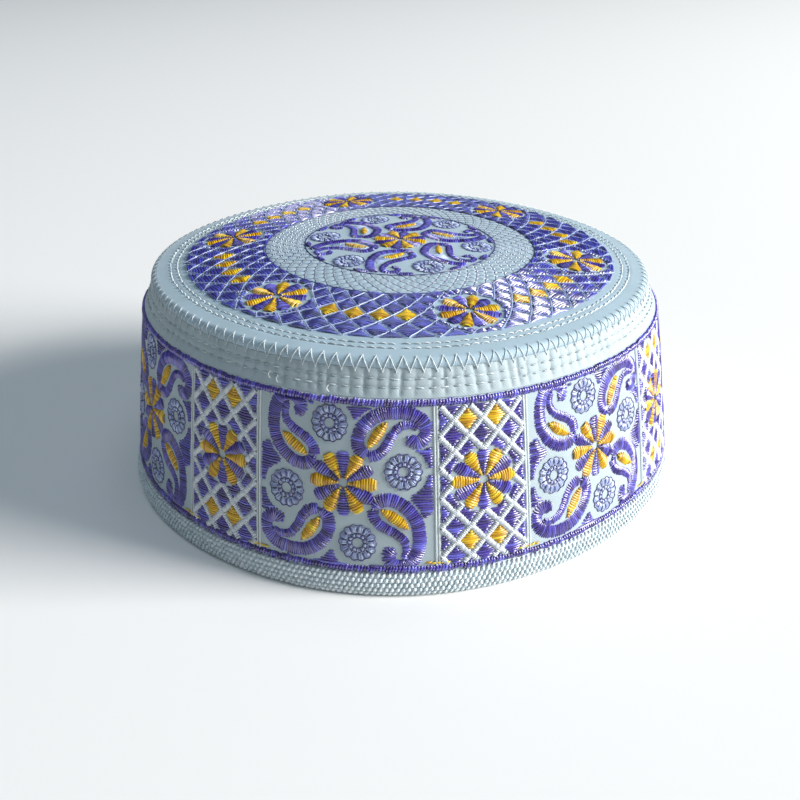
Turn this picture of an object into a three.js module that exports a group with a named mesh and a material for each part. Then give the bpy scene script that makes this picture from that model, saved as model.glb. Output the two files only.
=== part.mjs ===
// A stiff round prayer cap: a quilted hem, an embroidered band, a gathered strip
// and a shallow domed crown, sewn edge to edge. Millimetres, +Z up.
// The origin is the centre of the rim, on the surface that the cap stands on.
import * as THREE from "three";

// Driving dimensions of the outline
const headGirth = 570; // around the inside of the rim
const hemHeight = 7.2;
const hemTopRadius = 91.1; // outer radius where the hem meets the band
const bandHeight = 51.1;
const bandTopRadius = 84.0; // outer radius where the band meets the gathered strip
const stripHeight = 7.3;
const shoulderRadius = 80.7; // outer radius where the gathered strip meets the crown
const crownRise = 6.2; // height of the crown's middle above its rounded edge

// Thickness of each sewn layer, measured level in the walls and upright in the crown
const hemThickness = 2.3;
const bandThickness = 2.2;
const stripThickness = 2.2;
const crownThickness = 2.5;

// Smaller forms
const seamGap = 0.3; // between two pieces that a seam holds together
const hemRounding = 1.0; // radius of the turned lower edge
const hemPuff = 0.7; // how far the quilted hem swells out above that edge
const bandBelly = 0.4; // how far the band swells out of the straight line
const gatherPitch = 3.3; // spacing of the gathers around the shoulder
const gatherDepth = 0.5; // depth of the creases between them
const crownEdgeRounding = 2.0; // radius of the crown's outer edge
const crownSeatWidth = 2.0; // how far the crown's flat underside reaches in past the strip
const crownLean = 4.2; // drop of the crown from its left side to its right side
const squareness = 0.9; // swell of the rim at its front, back and sides
const flattening = 0.55; // how far the rim is pressed in at its front
const skew = 0.5; // stretch of the rim along its left front diagonal

// Fineness of the faceted surfaces
const roundSteps = 80;
const edgeSteps = 3;
const domeSteps = 6;
const underSteps = 4;

// Levels, stacked from the rim upwards with one seam gap between neighbours
const hemRadius = headGirth / (2 * Math.PI) + hemThickness;
const bandBottom = hemHeight + seamGap;
const bandTop = bandBottom + bandHeight;
const stripBottom = bandTop + seamGap;
const stripTop = stripBottom + stripHeight;
const crownSeat = stripTop + seamGap;
const crownEdgeTop = crownSeat + crownThickness;
const crownTop = crownEdgeTop + crownRise;

// Sections of the hem above its turned edge: share of the height, share of the puff
const hemSections = [
  { height: 0.3, puff: 0.7 },
  { height: 0.65, puff: 1.0 },
  { height: 1.0, puff: 0.0 },
];

// Sections of the band from the hem up: share of the height, share of the belly
const bandSections = [
  { height: 0.0, belly: 0.0 },
  { height: 0.2, belly: 0.65 },
  { height: 0.45, belly: 1.0 },
  { height: 0.7, belly: 0.8 },
  { height: 0.88, belly: 0.4 },
  { height: 1.0, belly: 0.0 },
];

// Sections of the gathered strip: share of the height, share of the creases' depth
const stripSections = [
  { height: 0.0, crease: 0.4 },
  { height: 0.45, crease: 1.0 },
  { height: 1.0, crease: 0.7 },
];

function mix(from, to, share) {
  return from + (to - from) * share;
}

// Gives a vertex its place on the soft cap: a little off round, with a crown that is
// lower on the right than on the left. The rim stays level, so the cap stands firmly.
function soften(point) {
  const angle = Math.atan2(point.x, -point.y);
  const radius = Math.hypot(point.x, point.y);
  const stray =
    squareness * Math.cos(4 * angle) -
    flattening * Math.cos(3 * angle) -
    skew * Math.sin(2 * angle);
  const softRadius = radius * (1 + stray / hemRadius);
  point.x = softRadius * Math.sin(angle);
  point.y = -softRadius * Math.cos(angle);
  const drop = (crownLean / 2) * (point.z / crownTop) * (point.x / shoulderRadius);
  point.z -= drop;
}

// Turns a profile about +Z. Its points { radius, height } run round the section with
// the cloth on their left, and a point's crease sinks it in every second column.
function revolve(profile, steps) {
  const line = profile.map(({ radius, height }) => new THREE.Vector2(radius, height));
  const geometry = new THREE.LatheGeometry(line, steps);
  geometry.rotateX(Math.PI / 2);
  const position = geometry.getAttribute("position");
  const point = new THREE.Vector3();
  for (let i = 0; i < position.count; i++) {
    const column = Math.floor(i / profile.length) % steps;
    const { radius, crease = 0 } = profile[i % profile.length];
    point.fromBufferAttribute(position, i);
    if (column % 2 === 1 && radius > 0) {
      const sunk = (radius - crease) / radius;
      point.x *= sunk;
      point.y *= sunk;
    }
    soften(point);
    position.setXYZ(i, point.x, point.y, point.z);
  }
  geometry.computeVertexNormals();
  return geometry;
}

// Points of a quarter round, from its lower end to its upper end
function quarterRound(radiusAt, heightAt) {
  const points = [];
  for (let i = 0; i <= edgeSteps; i++) {
    const turn = (i / edgeSteps) * (Math.PI / 2);
    points.push({ radius: radiusAt(turn), height: heightAt(turn) });
  }
  return points;
}

function piece(name, geometry, color, roughness) {
  const material = new THREE.MeshStandardMaterial({ color, roughness, metalness: 0 });
  const mesh = new THREE.Mesh(geometry, material);
  mesh.name = name;
  return mesh;
}

// The quilted hem: it flares towards the rim, where its cloth is turned under
function hem() {
  const rounding = Math.min(hemRounding, hemThickness / 2, hemHeight / 2);
  const turned = quarterRound(
    (turn) => hemRadius - rounding * (1 - Math.sin(turn)),
    (turn) => rounding * (1 - Math.cos(turn)),
  );
  const face = hemSections.map(({ height, puff }) => ({
    radius: mix(hemRadius, hemTopRadius, height) + hemPuff * puff,
    height: mix(rounding, hemHeight, height),
  }));
  const inside = [
    { radius: hemTopRadius - hemThickness, height: hemHeight },
    { radius: hemRadius - hemThickness, height: 0 },
  ];
  const profile = [...turned, ...face, ...inside, turned[0]];
  return piece("hem", revolve(profile, roundSteps), 0xdfe6e4, 0.85);
}

// The embroidered band: a stiff wall that leans in towards the shoulder
function embroideredBand() {
  const face = bandSections.map(({ height, belly }) => ({
    radius: mix(hemTopRadius, bandTopRadius, height) + bandBelly * belly,
    height: mix(bandBottom, bandTop, height),
  }));
  const inside = face
    .map(({ radius, height }) => ({ radius: radius - bandThickness, height }))
    .reverse();
  const profile = [...face, ...inside, face[0]];
  return piece("embroidered_band", revolve(profile, roundSteps), 0x8d86cf, 0.7);
}

// The gathered strip: its outer face is creased between upright gathers
function gatheredStrip() {
  const gathers = Math.round((2 * Math.PI * shoulderRadius) / gatherPitch);
  const face = stripSections.map(({ height, crease }) => ({
    radius: mix(bandTopRadius, shoulderRadius, height),
    height: mix(stripBottom, stripTop, height),
    crease: crease * gatherDepth,
  }));
  const inside = [
    { radius: shoulderRadius - stripThickness, height: stripTop },
    { radius: bandTopRadius - stripThickness, height: stripBottom },
  ];
  const profile = [...face, ...inside, face[0]];
  return piece("gathered_strip", revolve(profile, gathers * 2), 0xe4ecea, 0.85);
}

// The crown: a shallow dome with a rounded edge. Its underside is flat where it
// sits on the gathered strip and domed inside that.
function crown() {
  const rounding = Math.min(crownEdgeRounding, 0.9 * crownThickness);
  const domeRadius = shoulderRadius - rounding;
  const seatInside = shoulderRadius - stripThickness - crownSeatWidth;
  const domeHeight = (radius) => crownEdgeTop + crownRise * (1 - (radius / domeRadius) ** 2);

  const under = [];
  for (let i = 0; i < underSteps; i++) {
    const radius = (seatInside * i) / underSteps;
    under.push({ radius, height: domeHeight(radius) - crownThickness });
  }
  const seat = [
    { radius: seatInside, height: crownSeat },
    { radius: shoulderRadius, height: crownSeat },
  ];
  const edge = quarterRound(
    (turn) => shoulderRadius - rounding * (1 - Math.cos(turn)),
    (turn) => crownEdgeTop - rounding * (1 - Math.sin(turn)),
  );
  const dome = [];
  for (let i = domeSteps - 1; i >= 0; i--) {
    const radius = (domeRadius * i) / domeSteps;
    dome.push({ radius, height: domeHeight(radius) });
  }
  return piece("crown", revolve([...under, ...seat, ...edge, ...dome], roundSteps), 0xa9a6dc, 0.75);
}

const cap = new THREE.Group();
cap.add(hem(), embroideredBand(), gatheredStrip(), crown());

export default cap;
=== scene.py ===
# %% [markdown]
# # A prayer cap in violet and gold
# The cap is four sewn layers: a quilted hem, an embroidered band, a gathered strip and a
# shallow crown. Nearly everything that the eye sees on them is thread. So this lesson makes
# four smooth cloth forms first, and then sews some 22,000 stitches onto them.

import bpy
import numpy as np
from mathutils import Matrix, Vector


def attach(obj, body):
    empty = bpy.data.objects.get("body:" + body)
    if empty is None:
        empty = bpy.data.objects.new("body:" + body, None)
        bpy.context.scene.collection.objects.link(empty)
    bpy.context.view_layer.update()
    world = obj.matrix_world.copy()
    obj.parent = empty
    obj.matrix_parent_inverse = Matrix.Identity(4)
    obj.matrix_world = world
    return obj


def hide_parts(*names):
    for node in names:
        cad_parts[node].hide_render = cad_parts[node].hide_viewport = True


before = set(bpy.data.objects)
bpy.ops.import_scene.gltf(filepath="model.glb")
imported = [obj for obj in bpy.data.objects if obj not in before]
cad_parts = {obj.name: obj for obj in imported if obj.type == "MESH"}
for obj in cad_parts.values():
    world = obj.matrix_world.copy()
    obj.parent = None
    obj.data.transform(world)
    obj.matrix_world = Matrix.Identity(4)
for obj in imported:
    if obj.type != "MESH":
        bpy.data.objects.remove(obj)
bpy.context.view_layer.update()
MM = 0.001
print("solids in the frame:", ", ".join(sorted(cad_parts)))


def put_in_scene(name, data):
    """An object of that name, linked to the scene."""
    thing = bpy.data.objects.new(name, data)
    bpy.context.scene.collection.objects.link(thing)
    return thing


# %% [markdown]
# ## The outline
# Every stitch lies on the outline of the cap, so the outline is written once, as functions.
# A point of the cap is an angle from the front, a radius and a height. `soften` then gives it
# its place on the real, slightly crooked cap: the rim is a little off round, and the crown
# leans to the right. The sizes are those of the solids, so the cloth lies where they do.

# %% Sizes of the outline, in millimetres
HEM_THICKNESS = 2.3
HEM_RADIUS = 570 / (2 * np.pi) + HEM_THICKNESS
HEM_HEIGHT = 7.2
HEM_TOP_RADIUS = 91.1
HEM_ROUNDING = 1.0
HEM_LEVELS = [0, HEM_ROUNDING, 3, 5.2]
HEM_RADII = [HEM_RADIUS - HEM_ROUNDING, HEM_RADIUS, 92.9, 92.4]
SEAM_GAP = 0.3
BAND_BOTTOM = HEM_HEIGHT + SEAM_GAP
BAND_TOP = BAND_BOTTOM + 51.1
BAND_TOP_RADIUS = 84.0
BAND_BELLY = 0.4
STRIP_BOTTOM = BAND_TOP + SEAM_GAP
STRIP_TOP = STRIP_BOTTOM + 7.3
SHOULDER_RADIUS = 80.7
WALL_THICKNESS = 2.2
CROWN_SEAT = STRIP_TOP + SEAM_GAP
CROWN_THICKNESS = 2.5
CROWN_EDGE_TOP = CROWN_SEAT + CROWN_THICKNESS
CROWN_RISE = 6.2
CROWN_ROUNDING = 2.0
CROWN_TOP = CROWN_EDGE_TOP + CROWN_RISE
CROWN_LEAN = 4.2
SQUARENESS = 0.9
FLATTENING = 0.55
SKEW = 0.5

# %% Places on the softened outline


def soften(angle, radius, height):
    """Points in millimetres for angles from the front, radii and heights."""
    stray = SQUARENESS * np.cos(4 * angle) - FLATTENING * np.cos(3 * angle)
    stray = stray - SKEW * np.sin(2 * angle)
    soft = radius * (1 + stray / HEM_RADIUS)
    x = soft * np.sin(angle)
    drop = CROWN_LEAN / 2 * (height / CROWN_TOP) * (x / SHOULDER_RADIUS)
    return np.stack([x, -soft * np.cos(angle), height - drop], -1)


def wall_radius(height):
    """Outer radius of the hem, the band and the strip at a height."""
    share = np.array([0, 0.2, 0.45, 0.7, 0.88, 1])
    belly = np.array([0, 0.65, 1.0, 0.8, 0.4, 0])
    line = HEM_TOP_RADIUS + (BAND_TOP_RADIUS - HEM_TOP_RADIUS) * share
    heights = [*HEM_LEVELS, *(BAND_BOTTOM + (BAND_TOP - BAND_BOTTOM) * share), STRIP_TOP]
    radii = [*HEM_RADII, *(line + BAND_BELLY * belly), SHOULDER_RADIUS]
    return np.interp(height, heights, radii)


def dome_height(radius):
    """Height of the crown's upper face at a radius."""
    reach = SHOULDER_RADIUS - CROWN_ROUNDING
    return CROWN_EDGE_TOP + CROWN_RISE * (1 - (np.minimum(radius, reach) / reach) ** 2)


# %% [markdown]
# ## Charts
# Embroidery is drawn flat before it is sewn. A chart turns a flat drawing into points on the
# cap: `wall_chart` wraps x round the wall and keeps y upright, `crown_chart` looks down on
# the crown, and `ring_chart` unrolls a ring of the crown, with x along it and y outwards.

# %% Charts from flat drawings to the cap
WALL_CHART_RADIUS = 88.0
RING_RADIUS = 57.5


def wall_chart(drawn):
    return soften(drawn[..., 0] / WALL_CHART_RADIUS, wall_radius(drawn[..., 1]), drawn[..., 1])


def crown_chart(drawn):
    radius = np.hypot(drawn[..., 0], drawn[..., 1])
    return soften(np.arctan2(drawn[..., 0], -drawn[..., 1]), radius, dome_height(radius))


def ring_chart(drawn):
    return soften(drawn[..., 0] / RING_RADIUS, drawn[..., 1], dome_height(drawn[..., 1]))


def on_cap(chart, drawn):
    """Places of drawn points on the cap, and the directions that point out of the cloth."""
    small = 0.05
    place = chart(drawn)
    along = chart(drawn + [small, 0]) - chart(drawn - [small, 0])
    across = chart(drawn + [0, small]) - chart(drawn - [0, small])
    normal = np.cross(along, across)
    normal /= np.linalg.norm(normal, axis=-1, keepdims=True)
    outwards = np.sum(normal * (place - [0, 0, 20]), -1, keepdims=True)
    return place, normal * np.sign(outwards)


front = on_cap(wall_chart, np.array([[0.0, 30.0]]))
print("front of the band:", front[0].round(1), "facing", front[1].round(2))

# %% [markdown]
# ## Cloth
# The ground is white polyester twill. Close up it is a fine diagonal weave with a slight
# sheen; from further off only its grey-green shade shows. The weave is bump on the piece's
# own UV map, which is laid out in centimetres, so the threads have one size everywhere.

# %% Node helpers


def add(tree, kind, links=None, **settings):
    """A node with its properties set and its inputs filled or linked."""
    node = tree.nodes.new(kind)
    for name, value in settings.items():
        setattr(node, name, value)
    for name, value in (links or {}).items():
        if isinstance(value, bpy.types.NodeSocket):
            tree.links.new(value, node.inputs[name])
        else:
            node.inputs[name].default_value = value
    return node


def ramp(tree, factor, stops):
    """A colour ramp with (place, colour) stops."""
    node = add(tree, "ShaderNodeValToRGB", {"Fac": factor})
    while len(node.color_ramp.elements) < len(stops):
        node.color_ramp.elements.new(0.5)
    for element, (place, colour) in zip(node.color_ramp.elements, stops):
        element.position = place
        element.color = (*colour, 1)
    return node.outputs["Color"]


def new_material(name):
    material = bpy.data.materials.new(name)
    material.use_nodes = True
    tree = material.node_tree
    return material, tree, tree.nodes["Principled BSDF"]


# %% The white cloth


def cloth_material(name, light, shade, weave=0.14, threads=14.0):
    """Woven cloth; threads is the number of ribs in a centimetre."""
    material, tree, surface = new_material(name)
    place = add(tree, "ShaderNodeUVMap", uv_map="cloth").outputs["UV"]
    warp = add(tree, "ShaderNodeTexWave", {"Vector": place, "Scale": threads * 0.5,
               "Distortion": 0.6, "Detail": 1.0, "Detail Scale": 2.0}, bands_direction="DIAGONAL")
    weft = add(tree, "ShaderNodeTexWave", {"Vector": place, "Scale": threads * 0.8,
               "Distortion": 0.8, "Detail": 1.0, "Detail Scale": 3.0}, bands_direction="X")
    both = add(tree, "ShaderNodeMix", {"Factor": 0.4}, data_type="FLOAT")
    tree.links.new(warp.outputs["Fac"], both.inputs["A"])
    tree.links.new(weft.outputs["Fac"], both.inputs["B"])
    soil = add(tree, "ShaderNodeTexNoise", {"Vector": place, "Scale": 0.9, "Detail": 4.0})
    colour = ramp(tree, soil.outputs["Fac"], [(0.3, shade), (0.7, light)])
    bump = add(tree, "ShaderNodeBump", {"Height": both.outputs["Result"], "Strength": weave,
               "Distance": 0.0004})
    tree.links.new(colour, surface.inputs["Base Color"])
    tree.links.new(bump.outputs["Normal"], surface.inputs["Normal"])
    surface.inputs["Roughness"].default_value = 0.62
    surface.inputs["Sheen Weight"].default_value = 0.25
    surface.inputs["Sheen Roughness"].default_value = 0.4
    return material


WHITE_CLOTH = cloth_material("white_twill", (0.46, 0.555, 0.60), (0.41, 0.50, 0.53))
# The crown's copy of the white twill is bluer: painted cool light, the tint of the sky on its upward
# face.
CROWN_CLOTH_PAINTED_COOL_LIGHT = cloth_material("crown_twill_painted_cool_light", (0.42, 0.555, 0.65), (0.375, 0.50, 0.575))
# The hem's copy is much lighter than the same twill elsewhere: painted light that brightens the
# quilted hem.
QUILTED_CLOTH_PAINTED_LIGHT = cloth_material("quilted_twill_painted_light", (0.68, 0.77, 0.80), (0.62, 0.70, 0.72), 0.2)

# %% [markdown]
# ## Thread
# Rayon embroidery thread is a bundle of glossy fibres, so its shine is narrow along the
# thread and wide across it. Where the stitches lie square to the light, a whole field turns
# nearly white. Each stitch also has a tone of its own. The sewing below writes both, the
# tone and the direction across the thread, as attributes that the material reads.

# %% Thread materials


def thread_material(name, dark, middle, bright, roughness=0.42, ior=1.7):
    material, tree, surface = new_material(name)
    tone = add(tree, "ShaderNodeAttribute", attribute_name="tone").outputs["Fac"]
    place = add(tree, "ShaderNodeTexCoord").outputs["Object"]
    streaks = add(tree, "ShaderNodeTexNoise", {"Vector": place, "Scale": 2600.0, "Detail": 2.0})
    softened = add(tree, "ShaderNodeMix", {"Factor": 0.35}, data_type="FLOAT")
    tree.links.new(tone, softened.inputs["A"])
    tree.links.new(streaks.outputs["Fac"], softened.inputs["B"])
    colour = ramp(tree, softened.outputs["Result"], [(0.1, dark), (0.5, middle), (0.9, bright)])
    bump = add(tree, "ShaderNodeBump", {"Height": streaks.outputs["Fac"], "Strength": 0.35,
               "Distance": 0.00008})
    tree.links.new(colour, surface.inputs["Base Color"])
    tree.links.new(bump.outputs["Normal"], surface.inputs["Normal"])
    surface.inputs["Roughness"].default_value = roughness
    across = add(tree, "ShaderNodeAttribute", attribute_name="across").outputs["Vector"]
    tree.links.new(across, surface.inputs["Tangent"])
    surface.inputs["Anisotropic"].default_value = 0.9
    surface.inputs["IOR"].default_value = ior
    surface.inputs["Specular IOR Level"].default_value = 1.0
    return material


VIOLET = thread_material(
    "violet_rayon", (0.022, 0.006, 0.12), (0.06, 0.025, 0.36), (0.17, 0.17, 0.82), 0.33, 1.8)
FLAT_VIOLET = thread_material(
    "flat_violet_rayon", (0.012, 0.006, 0.15), (0.035, 0.022, 0.38), (0.11, 0.12, 0.78), 0.44, 2.3)
INK = thread_material(
    "dark_violet_rayon", (0.02, 0.013, 0.11), (0.05, 0.038, 0.23), (0.13, 0.12, 0.46))
GOLD = thread_material(
    "gold_rayon", (0.42, 0.19, 0.001), (0.78, 0.44, 0.002), (0.95, 0.72, 0.02), 0.38, 1.55)
PALE = thread_material("white_rayon", (0.55, 0.62, 0.72), (0.72, 0.78, 0.84), (0.88, 0.92, 0.95))
LILAC = thread_material("lilac_rayon", (0.27, 0.32, 0.64), (0.43, 0.52, 0.84), (0.68, 0.79, 0.98))
# The dark end of this sewing thread's ramp is painted shade, used by the strip's sunken stitch rows.
SEWING = thread_material(
    "white_sewing_thread", (0.26, 0.33, 0.36), (0.62, 0.70, 0.72), (0.9, 0.94, 0.94), 0.5)
# The hem's grain thread is lightened along with its cloth: painted light.
QUILTING_PAINTED_LIGHT = thread_material(
    "quilting_thread_painted_light", (0.62, 0.71, 0.75), (0.75, 0.85, 0.89), (0.87, 0.95, 0.98), 0.55)

# %% [markdown]
# ## Cloth forms
# A wall is a closed profile turned about the middle. Turning it in code instead of with a
# modifier lets each point take its place on the softened outline, and lets the outer face
# carry a relief: grain on the hem and gathers on the strip.

# %% Turning a profile into cloth


def turned_cloth(name, profile, columns, relief=None):
    """A closed wall. Profile rows are radius, height and share of the relief, outer face first."""
    profile = np.array(profile, float)
    rows = len(profile)
    angle = np.arange(columns) * (2 * np.pi / columns)
    grid, radius = np.meshgrid(angle, profile[:, 0], indexing="ij")
    height = np.broadcast_to(profile[:, 1], grid.shape)
    if relief is not None:
        radius = radius + profile[:, 2] * relief(grid, height)
    points = soften(grid, radius, height).reshape(-1, 3) * MM
    here = np.arange(columns * rows).reshape(columns, rows)
    beside = np.roll(here, -1, 0)
    above = np.roll(here, -1, 1)
    corner = np.roll(beside, -1, 1)
    faces = np.stack([here, beside, corner, above], -1).reshape(-1, 4)
    length = np.concatenate([[0], np.cumsum(np.hypot(*np.diff(profile[:, :2], axis=0).T))])
    mesh = bpy.data.meshes.new(name)
    mesh.from_pydata(points.tolist(), [], faces.tolist())
    layer = mesh.uv_layers.new(name="cloth")
    column, row = np.divmod(np.arange(columns * rows), rows)
    step = 2 * np.pi / columns * WALL_CHART_RADIUS / 10
    corners = np.stack([column, column + 1, column + 1, column], -1).reshape(-1) * step
    following = length[(row + 1) % rows]
    lines = np.stack([length[row], length[row], following, following], -1).reshape(-1) / 10
    layer.data.foreach_set("uv", np.stack([corners, lines], -1).astype(np.float32).ravel())
    mesh.polygons.foreach_set("use_smooth", np.ones(len(faces), bool))
    mesh.update()
    print(name, "has", 2 * len(faces), "triangles")
    return put_in_scene(name, mesh)


def triangles(mesh):
    return sum(len(face.vertices) - 2 for face in mesh.polygons)


def finish_piece(piece, slot, *nodes):
    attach(piece, "root")
    if nodes:
        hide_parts(*nodes)


# %% [markdown]
# The hem is quilted so densely that it looks like grains of rice: five rows of little puffs,
# each row half a puff on from the next. The cloth itself only swells along the rows; the
# grains are sewn on further down. Its lower edge is turned under.

# %% The hem
GRAIN_LENGTH = 1.62
GRAIN_ROWS = 5
GRAINS = round(2 * np.pi * HEM_RADIUS / GRAIN_LENGTH)
ROW_STEP = (HEM_HEIGHT - 0.4) / GRAIN_ROWS


def hem_relief(angle, height):
    rib = np.abs(np.sin(np.pi * (height - 0.3) / ROW_STEP)) ** 0.6
    return 0.3 * rib - 0.55


def hem_cloth():
    outer = [(HEM_RADIUS - HEM_ROUNDING, 0.0, 0.0), (HEM_RADIUS - 0.3, 0.3, 0.3)]
    for height in np.linspace(0.5, HEM_HEIGHT + SEAM_GAP / 2, 4 * GRAIN_ROWS + 1):
        outer.append((wall_radius(height), height, 1.0))
    inner = [(HEM_TOP_RADIUS - HEM_THICKNESS, HEM_HEIGHT + SEAM_GAP / 2, 0.0)]
    inner.append((HEM_RADIUS - HEM_THICKNESS, 0.0, 0.0))
    cloth = turned_cloth("hem_cloth", outer + inner, GRAINS, hem_relief)
    cloth.data.materials.append(QUILTED_CLOTH_PAINTED_LIGHT)
    finish_piece(cloth, "white_cloth", "hem")


hem_cloth()

# %% [markdown]
# The band is a smooth wall. The gathered strip is the free top of the same cloth, and the
# two rows of stitches that hold it pull it into puckers about 3.3 mm apart.

# %% The band and the gathered strip
GATHERS = round(2 * np.pi * SHOULDER_RADIUS / 3.3)
GATHER_DEPTH = 0.75
STITCH_ROWS = (61.5, 63.7)


def band_cloth():
    heights = np.linspace(BAND_BOTTOM - SEAM_GAP / 2, BAND_TOP + SEAM_GAP / 2, 30)
    outer = [(wall_radius(height), height, 0.0) for height in heights]
    inner = [(radius - WALL_THICKNESS, height, 0.0) for radius, height, _ in reversed(outer)]
    cloth = turned_cloth("band_cloth", outer + inner[::4] + inner[-1:], 320)
    cloth.data.materials.append(WHITE_CLOTH)
    finish_piece(cloth, "embroidery", "embroidered_band")


def gather_relief(angle, height):
    drift = 0.22 * np.sin(angle * 11 + height * 0.15) + 0.16 * np.sin(angle * 29 + 1.3)
    along = angle / (2 * np.pi) * GATHERS + drift
    strength = 0.7 + 0.3 * np.sin(angle * 47 + 2.0)
    pucker = np.abs(np.sin(np.pi * along)) ** 0.38 - 1
    held = sum(np.exp(-((height - row) / 0.45) ** 2) for row in STITCH_ROWS)
    free = np.clip((height - STRIP_BOTTOM) / 1.5, 0, 1)
    return GATHER_DEPTH * strength * pucker * free * (1 - 0.3 * held) - 0.3 * held


def strip_cloth():
    heights = np.linspace(STRIP_BOTTOM - SEAM_GAP / 2, STRIP_TOP + SEAM_GAP / 2, 24)
    outer = [(wall_radius(height), height, 1.0) for height in heights]
    inner = [(SHOULDER_RADIUS - WALL_THICKNESS, heights[-1], 0.0)]
    inner.append((BAND_TOP_RADIUS - WALL_THICKNESS, heights[0], 0.0))
    cloth = turned_cloth("strip_cloth", outer + inner, 8 * GATHERS, gather_relief)
    cloth.data.materials.append(WHITE_CLOTH)
    finish_piece(cloth, "white_cloth", "gathered_strip")


band_cloth()
strip_cloth()

# %% [markdown]
# The crown is a disc, so its profile starts and ends on the axis. Its poles are closed with
# a fan of triangles. The ring between the violet embroidery and the middle medallion is
# quilted by two sets of spiral lines, which leave small cushions between them.

# %% Radii of the crown's zones
MEDALLION_RADIUS = 31.2
NET_RADIUS = 43.9
VIOLET_RING_RADIUS = 70.1
RIM_ROWS = (72.4, 74.6)
NET_CELLS = 60
NET_TURN = 3.0

# %% The crown


def net_lines(angle, radius):
    """How far a point is through its net cell, along both sets of spirals."""
    turn = (radius - MEDALLION_RADIUS) / (NET_RADIUS - MEDALLION_RADIUS) * NET_TURN
    around = angle / (2 * np.pi) * NET_CELLS
    return around + turn, around - turn


def crown_relief(angle, radius):
    one, other = net_lines(angle, radius)
    cushion = np.abs(np.sin(np.pi * one) * np.sin(np.pi * other)) ** 0.5
    net = np.clip(np.minimum(radius - MEDALLION_RADIUS, NET_RADIUS - radius) / 0.8, 0, 1)
    held = sum(np.exp(-((radius - row) / 0.5) ** 2) for row in RIM_ROWS)
    return 0.28 * cushion * net - 0.18 * held


def crown_cloth():
    columns = 720
    radii = np.concatenate([
        np.linspace(1, 30, 9), np.linspace(31, 44.5, 34), np.linspace(46, 70, 9),
        np.linspace(70.8, SHOULDER_RADIUS - CROWN_ROUNDING, 22)])
    angle = np.arange(columns) * (2 * np.pi / columns)
    grid, radius = np.meshgrid(angle, radii, indexing="ij")
    top = soften(grid, radius, dome_height(radius) + crown_relief(grid, radius))
    turn = np.linspace(0.15, 1, 6) * np.pi / 2
    edge_radius = SHOULDER_RADIUS - CROWN_ROUNDING * (1 - np.sin(turn))
    edge_height = CROWN_EDGE_TOP - CROWN_ROUNDING * (1 - np.cos(turn))
    inside = SHOULDER_RADIUS - WALL_THICKNESS - CROWN_ROUNDING
    seat = CROWN_SEAT - SEAM_GAP / 2
    under = np.array([[SHOULDER_RADIUS - 0.1, seat], [inside, seat]])
    for share in (0.75, 0.5, 0.25, 0.01):
        lower = dome_height(inside * share) - CROWN_THICKNESS
        under = np.vstack([under, [inside * share, lower]])
    tail = np.vstack([np.stack([edge_radius, edge_height], -1), under])
    rest = soften(angle[:, None], tail[None, :, 0], tail[None, :, 1])
    points = np.concatenate([top, rest], 1)
    rows = points.shape[1]
    flat = points.reshape(-1, 3)
    here = np.arange(columns * rows).reshape(columns, rows)
    beside = np.roll(here, -1, 0)
    faces = np.stack([here[:, :-1], here[:, 1:], beside[:, 1:], beside[:, :-1]], -1)
    faces = faces.reshape(-1, 4).tolist()
    top_pole, under_pole = len(flat), len(flat) + 1
    poles = soften(np.zeros(2), np.zeros(2), np.array([CROWN_TOP, CROWN_TOP - CROWN_THICKNESS]))
    faces += [(top_pole, a, b) for a, b in zip(here[:, 0], beside[:, 0])]
    faces += [(under_pole, b, a) for a, b in zip(here[:, -1], beside[:, -1])]
    mesh = bpy.data.meshes.new("crown_cloth")
    mesh.from_pydata((np.vstack([flat, poles]) * MM).tolist(), [], faces)
    mesh.polygons.foreach_set("use_smooth", np.ones(len(mesh.polygons), bool))
    layer = mesh.uv_layers.new(name="cloth")
    corner = np.zeros(len(mesh.loops), int)
    mesh.loops.foreach_get("vertex_index", corner)
    seen = np.vstack([flat, poles])[corner][:, :2] / 10
    layer.data.foreach_set("uv", seen.astype(np.float32).ravel())
    mesh.update()
    mesh.materials.append(CROWN_CLOTH_PAINTED_COOL_LIGHT)
    finish_piece(put_in_scene("crown_cloth", mesh), "embroidery", "crown")
    print("crown_cloth has", triangles(mesh), "triangles")


crown_cloth()

# %% [markdown]
# ## One tree for all stitches
# A satin stitch is a short thread that dips into the cloth at both ends and stands proud in
# its middle. Geometry Nodes suit it: the mesh that goes in has one edge for each stitch, and
# the tree turns every edge into an arched thread. Its inputs set how full and how fine the
# threads are, and each edge brings its own lift, width and tone as attributes.

# %% The stitch tree


def from_edge(tree, name, kind="FLOAT"):
    """What an edge says of its own thread, such as its lift or its width."""
    node = add(tree, "GeometryNodeInputNamedAttribute", {"Name": name}, data_type=kind)
    return node.outputs["Attribute"]


def maths(tree, operation, first, second):
    return add(tree, "ShaderNodeMath", {0: first, 1: second}, operation=operation).outputs[0]


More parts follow.
